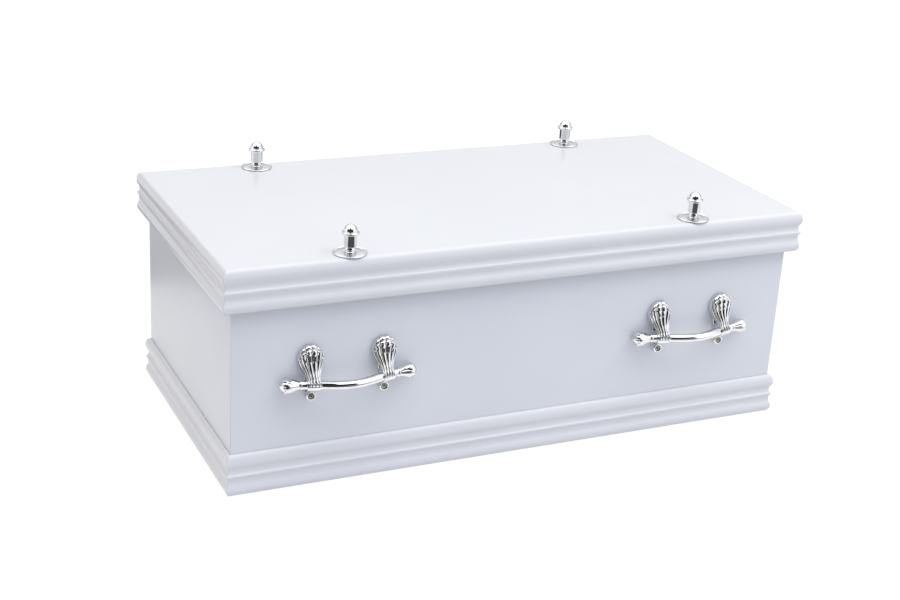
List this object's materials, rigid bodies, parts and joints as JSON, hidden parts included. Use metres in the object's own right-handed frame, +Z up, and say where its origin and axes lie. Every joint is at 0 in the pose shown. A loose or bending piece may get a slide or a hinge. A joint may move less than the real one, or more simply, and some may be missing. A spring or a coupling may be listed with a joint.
{
  "type": "infant casket",
  "caption": "Small white painted casket: mitred box on a reeded foot moulding, flat cap lid with matching edge, knob-headed lid screws on round plates and bowed bar handles on shell lugs.",
  "frame": {"origin": "centre of the underside, on the floor", "axes": "+X along the length, towards the right end seen from the front; the front faces -Y; +Z up"},
  "size_m": [0.7856, 0.433, 0.3228],
  "materials": {
    "painted_box": "white semi-gloss paint on board",
    "painted_lid": "white semi-gloss paint on board",
    "painted_moulding": "white semi-gloss paint on moulded strip",
    "chrome_lid_fittings": "bright chrome plate",
    "chrome_handles": "bright chrome plate",
    "steel_screws": "bright zinc-plated steel"
  },
  "bodies": {
    "root": {"front_panel": "painted_box", "back_panel": "painted_box", "left_end_panel": "painted_box", "right_end_panel": "painted_box", "floor_board": "painted_box", "lid_board": "painted_lid", "base_moulding_front": "painted_moulding", "lid_moulding_front": "painted_moulding", "base_moulding_back": "painted_moulding", "lid_moulding_back": "painted_moulding", "base_moulding_left": "painted_moulding", "lid_moulding_left": "painted_moulding", "base_moulding_right": "painted_moulding", "lid_moulding_right": "painted_moulding", "lid_screw_plate_front_left": "chrome_lid_fittings", "lid_screw_front_left": "chrome_lid_fittings", "handle_bar_front_left": "chrome_handles", "handle_lug_front_left_a": "chrome_handles", "handle_lug_screw_front_left_a": "steel_screws", "handle_lug_front_left_b": "chrome_handles", "handle_lug_screw_front_left_b": "steel_screws", "lid_screw_plate_front_right": "chrome_lid_fittings", "lid_screw_front_right": "chrome_lid_fittings", "handle_bar_front_right": "chrome_handles", "handle_lug_front_right_a": "chrome_handles", "handle_lug_screw_front_right_a": "steel_screws", "handle_lug_front_right_b": "chrome_handles", "handle_lug_screw_front_right_b": "steel_screws", "lid_screw_plate_back_left": "chrome_lid_fittings", "lid_screw_back_left": "chrome_lid_fittings", "handle_bar_back_left": "chrome_handles", "handle_lug_back_left_a": "chrome_handles", "handle_lug_screw_back_left_a": "steel_screws", "handle_lug_back_left_b": "chrome_handles", "handle_lug_screw_back_left_b": "steel_screws", "lid_screw_plate_back_right": "chrome_lid_fittings", "lid_screw_back_right": "chrome_lid_fittings", "handle_bar_back_right": "chrome_handles", "handle_lug_back_right_a": "chrome_handles", "handle_lug_screw_back_right_a": "steel_screws", "handle_lug_back_right_b": "chrome_handles", "handle_lug_screw_back_right_b": "steel_screws"}
  },
  "joints": []
}
